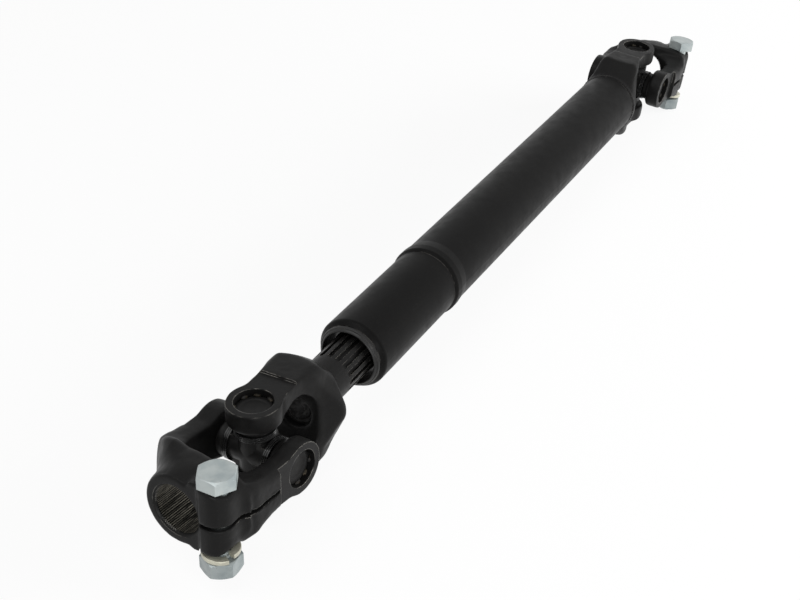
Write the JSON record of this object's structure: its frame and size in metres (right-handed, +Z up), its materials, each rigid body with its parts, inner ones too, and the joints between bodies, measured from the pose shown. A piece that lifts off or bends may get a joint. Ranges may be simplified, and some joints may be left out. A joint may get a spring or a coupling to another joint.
{
  "type": "universal joint shaft",
  "caption": "Telescopic drive shaft: splined shaft sliding in a tube, a needle-bearing universal joint and a slotted clamp yoke with serrated bore at each end.",
  "frame": {"origin": "centre of the near clamp yoke's serrated bore, where the teeth begin behind the mouth's chamfer", "axes": "+X along the shaft from the near joint to the far one, +Z up along the near cross's upright arms, +Y to the left seen from the near end; both clamp bolts are on the -Y side with their heads up"},
  "size_m": [0.6252, 0.0651, 0.0667],
  "materials": {
    "black_paint": "satin black paint over forged and drawn steel",
    "shaft_steel": "satin black paint, worn thin on the spline crests",
    "cup_steel": "satin black paint over drawn steel",
    "cross_steel": "satin black paint over forged steel",
    "zinc_plate": "bright zinc plating",
    "yellow_zinc": "pale yellow passivated zinc",
    "seal_rubber": "semi-gloss black rubber",
    "roller_steel": "ground bearing steel",
    "pad_plastic": "natural nylon",
    "plug_steel": "plain pressed steel"
  },
  "bodies": {
    "tube": {"tube": "black_paint", "spline_sleeve": "black_paint", "retainer_ring": "black_paint", "wiper_seal": "seal_rubber", "sealing_plug": "plug_steel", "tube_yoke": "black_paint", "far_cup_top": "cup_steel", "far_needles_top": "roller_steel", "far_thrust_pad_top": "pad_plastic", "far_cup_bottom": "cup_steel", "far_needles_bottom": "roller_steel", "far_thrust_pad_bottom": "pad_plastic"},
    "slip_shaft": {"splined_shaft": "shaft_steel", "shaft_yoke": "black_paint", "near_cup_top": "cup_steel", "near_needles_top": "roller_steel", "near_thrust_pad_top": "pad_plastic", "near_cup_bottom": "cup_steel", "near_needles_bottom": "roller_steel", "near_thrust_pad_bottom": "pad_plastic"},
    "near_cross": {"near_cross": "cross_steel", "near_seal_top": "seal_rubber", "near_seal_bottom": "seal_rubber", "near_seal_left": "seal_rubber", "near_seal_right": "seal_rubber"},
    "near_clamp": {"near_clamp_yoke": "black_paint", "near_clamp_bolt": "zinc_plate", "near_spring_washer": "yellow_zinc", "near_clamp_nut": "zinc_plate", "near_cup_left": "cup_steel", "near_needles_left": "roller_steel", "near_thrust_pad_left": "pad_plastic", "near_cup_right": "cup_steel", "near_needles_right": "roller_steel", "near_thrust_pad_right": "pad_plastic"},
    "far_cross": {"far_cross": "cross_steel", "far_seal_top": "seal_rubber", "far_seal_bottom": "seal_rubber", "far_seal_left": "seal_rubber", "far_seal_right": "seal_rubber"},
    "far_clamp": {"far_clamp_yoke": "black_paint", "far_clamp_bolt": "zinc_plate", "far_spring_washer": "yellow_zinc", "far_clamp_nut": "zinc_plate", "far_cup_left": "cup_steel", "far_needles_left": "roller_steel", "far_thrust_pad_left": "pad_plastic", "far_cup_right": "cup_steel", "far_needles_right": "roller_steel", "far_thrust_pad_right": "pad_plastic"}
  },
  "joints": [
    {"name": "shaft_slide", "type": "slide", "parent": "tube", "child": "slip_shaft", "axis": [1, 0, 0], "range_m": [-0.03, 0.03]},
    {"name": "near_cross_turn", "type": "hinge", "parent": "slip_shaft", "child": "near_cross", "pos_m": [0.05442, -0.00514, -0.002], "axis": [0, 0, 1], "range_deg": [-26.6, 37.4]},
    {"name": "near_clamp_turn", "type": "hinge", "parent": "near_cross", "child": "near_clamp", "pos_m": [0.05442, -0.00514, -0.002], "axis": [0.0941, 0.9956, 0], "range_deg": [-34.1, 29.9]},
    {"name": "far_cross_turn", "type": "hinge", "parent": "tube", "child": "far_cross", "pos_m": [0.55742, -0.00514, -0.002], "axis": [0, -0.1028, 0.9947], "range_deg": [-31.3, 32.7]},
    {"name": "far_clamp_turn", "type": "hinge", "parent": "far_cross", "child": "far_clamp", "pos_m": [0.55742, -0.00514, -0.002], "axis": [0.0122, 0.9946, 0.1028], "range_deg": [-38.1, 25.9]}
  ]
}
